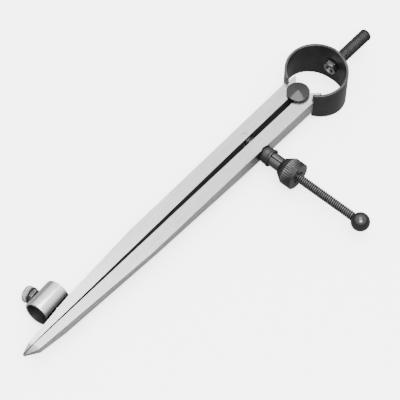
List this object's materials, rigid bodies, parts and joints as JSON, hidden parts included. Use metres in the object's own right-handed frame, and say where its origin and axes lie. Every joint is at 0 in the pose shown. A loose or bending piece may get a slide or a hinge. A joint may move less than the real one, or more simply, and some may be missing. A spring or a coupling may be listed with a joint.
{
  "type": "drawing compass",
  "caption": "Spring-bow steel drawing compass lying flat, with pointed legs, a threaded adjusting screw with a knurled quick nut, and a clamped pencil sleeve on one leg",
  "frame": {"origin": "The middle of the fulcrum stud's flat rear end", "axes": "The compass lies flat. Z is the fulcrum axis and +Z points out of the stud's round head. -Y runs along the legs to the points and +Y along the grip. +X points from the left leg, which carries the pencil sleeve, to the right leg and the screw's ball end."},
  "size_m": [0.1022, 0.2575, 0.0246],
  "materials": {
    "ground_steel": "ground and lightly polished bare steel with fine lengthwise grain",
    "blackened_steel": "satin black oxide on steel",
    "black_thread": "black oxide on threaded and knurled steel",
    "black_ball": "polished black oxide",
    "nickel": "polished nickel plate",
    "zinc": "bright zinc plate"
  },
  "bodies": {
    "bow": {"pivot_stud": "blackened_steel", "pivot_collar": "blackened_steel", "bow_spring": "blackened_steel", "grip": "black_thread", "grip_nut": "zinc"},
    "pencil_leg": {"left_leg": "ground_steel", "screw_pin": "ground_steel", "pencil_sleeve": "nickel", "sleeve_rivet": "nickel", "clamp_nut": "zinc"},
    "needle_leg": {"right_leg": "ground_steel"},
    "screw": {"adjusting_screw": "black_thread", "screw_ball": "black_ball"},
    "nut_seat": {"dome_washer": "blackened_steel"},
    "quick_nut": {"nut_jaw_a": "blackened_steel", "nut_jaw_b": "blackened_steel", "knurled_nut": "blackened_steel"},
    "clamp_screw": {"thumb_screw": "zinc"}
  },
  "joints": [
    {"name": "leg_spread", "type": "hinge", "parent": "bow", "child": "pencil_leg", "pos_m": [0, 0, 0.0061], "axis": [0, 0, -1], "range_deg": [0, 26], "deforming": ["bow_spring"]},
    {"name": "needle_leg_spread", "type": "hinge", "parent": "bow", "child": "needle_leg", "pos_m": [0, 0, 0.0061], "axis": [0, 0, 1], "range_deg": [0, 26]},
    {"name": "screw_swing", "type": "hinge", "parent": "pencil_leg", "child": "screw", "pos_m": [-0.0037, -0.03765, 0.0061], "axis": [0, 0, 1], "range_deg": [0, 30.8]},
    {"name": "nut_travel", "type": "slide", "parent": "screw", "child": "nut_seat", "axis": [1, 0, 0], "range_m": [0, 0.0328]},
    {"name": "nut_spin", "type": "hinge", "parent": "nut_seat", "child": "quick_nut", "pos_m": [0.0232, -0.03765, 0.0061], "axis": [1, 0, 0], "continuous": true},
    {"name": "thumb_screw_turn", "type": "hinge", "parent": "pencil_leg", "child": "clamp_screw", "pos_m": [-0.01209, -0.17163, 0.00438], "axis": [0.9504, 0.1282, 0.2835], "range_deg": [-720, 250]}
  ],
  "couplings": [
    {"joint": "needle_leg_spread", "follows": "leg_spread", "ratio": 1},
    {"joint": "screw_swing", "follows": "leg_spread", "ratio": 1.18},
    {"joint": "nut_travel", "follows": "leg_spread", "m_per_rad": 0.0722}
  ]
}
